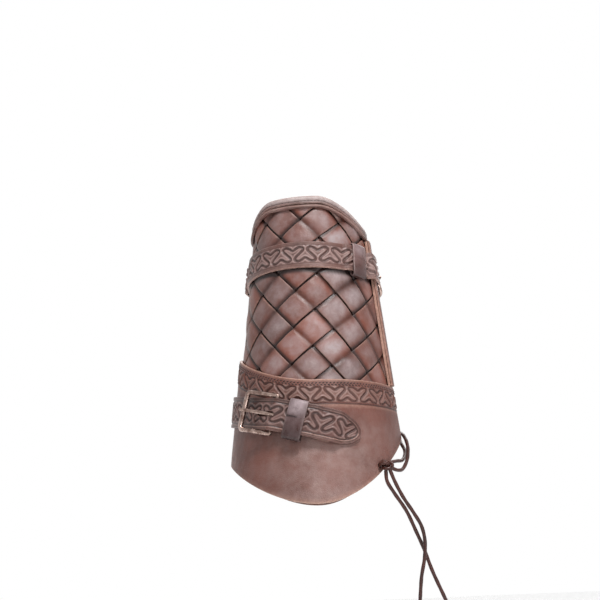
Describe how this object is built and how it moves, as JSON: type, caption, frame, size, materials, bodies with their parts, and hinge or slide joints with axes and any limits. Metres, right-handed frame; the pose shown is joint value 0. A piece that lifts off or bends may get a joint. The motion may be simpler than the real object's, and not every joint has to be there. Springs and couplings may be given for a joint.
{
  "type": "leather bracer",
  "caption": "Waxed leather bracer for the forearm with a woven front, an embossed cuff with a pointed flap, two buckled straps and lacing at the back.",
  "frame": {"origin": "on the forearm's axis, level with the lowest point of the elbow flap", "axes": "+Z along the forearm towards the hand, -Y out of the woven front, +X towards the side with the lace's loose ends"},
  "size_m": [0.1685, 0.145, 0.3325],
  "materials": {
    "shell_leather": "matt, waxed",
    "outer_leather": "waxed and rubbed",
    "woven_leather": "waxed, worn light at the edges",
    "strap_leather": "waxed, embossed",
    "keeper_leather": "waxed",
    "lace_leather": "smooth",
    "felt": "felted",
    "antique_steel": "dark in the hollows, rubbed bright",
    "aged_brass": "dull"
  },
  "bodies": {
    "bracer": {"shell": "shell_leather", "top_trim": "outer_leather", "top_piping": "outer_leather", "right_panel": "outer_leather", "left_panel": "outer_leather", "right_edging": "outer_leather", "left_edging": "outer_leather", "cuff": "outer_leather", "cuff_padding": "felt", "rising_strip_1": "woven_leather", "rising_strip_2": "woven_leather", "rising_strip_3": "woven_leather", "rising_strip_4": "woven_leather", "rising_strip_5": "woven_leather", "rising_strip_6": "woven_leather", "rising_strip_7": "woven_leather", "rising_strip_8": "woven_leather", "rising_strip_9": "woven_leather", "rising_strip_10": "woven_leather", "rising_strip_11": "woven_leather", "falling_strip_1": "woven_leather", "falling_strip_2": "woven_leather", "falling_strip_3": "woven_leather", "falling_strip_4": "woven_leather", "falling_strip_5": "woven_leather", "falling_strip_6": "woven_leather", "falling_strip_7": "woven_leather", "falling_strip_8": "woven_leather", "falling_strip_9": "woven_leather", "upper_strap": "strap_leather", "upper_keeper": "keeper_leather", "upper_chape": "strap_leather", "lower_strap": "strap_leather", "lower_chape": "strap_leather", "rivets": "aged_brass", "eyelets": "aged_brass", "lacing": "lace_leather", "lace_lead_right": "lace_leather", "lace_lead_left": "lace_leather", "lace_knot": "lace_leather", "lace_tail_long": "lace_leather", "lace_tail_short": "lace_leather"},
    "upper_buckle": {"upper_buckle": "antique_steel"},
    "upper_tongue": {"upper_tongue": "antique_steel"},
    "lower_keeper": {"lower_keeper": "keeper_leather"},
    "lower_buckle": {"lower_buckle": "antique_steel"},
    "lower_tongue": {"lower_tongue": "antique_steel"}
  },
  "joints": [
    {"name": "upper_buckle_tilt", "type": "hinge", "parent": "bracer", "child": "upper_buckle", "pos_m": [0.04729, 0.02306, 0.18561], "axis": [-0.2123, 0.1864, 0.9593], "range_deg": [-1, 6]},
    {"name": "upper_tongue_lift", "type": "hinge", "parent": "upper_buckle", "child": "upper_tongue", "pos_m": [0.04729, 0.02306, 0.18561], "axis": [-0.2123, 0.1864, 0.9593], "range_deg": [0, 10]},
    {"name": "lower_buckle_tilt", "type": "hinge", "parent": "bracer", "child": "lower_buckle", "pos_m": [-0.03301, -0.06478, 0.07013], "axis": [0.26, -0.0093, 0.9656], "range_deg": [-1, 6]},
    {"name": "lower_tongue_lift", "type": "hinge", "parent": "lower_buckle", "child": "lower_tongue", "pos_m": [-0.03301, -0.06478, 0.07013], "axis": [0.26, -0.0093, 0.9656], "range_deg": [0, 10]},
    {"name": "lower_keeper_slide", "type": "hinge", "parent": "bracer", "child": "lower_keeper", "pos_m": [0.00097, 0.00444, 0.05732], "axis": [0.2811, 0.0502, 0.9584], "range_deg": [-0.7, 3.5]}
  ]
}
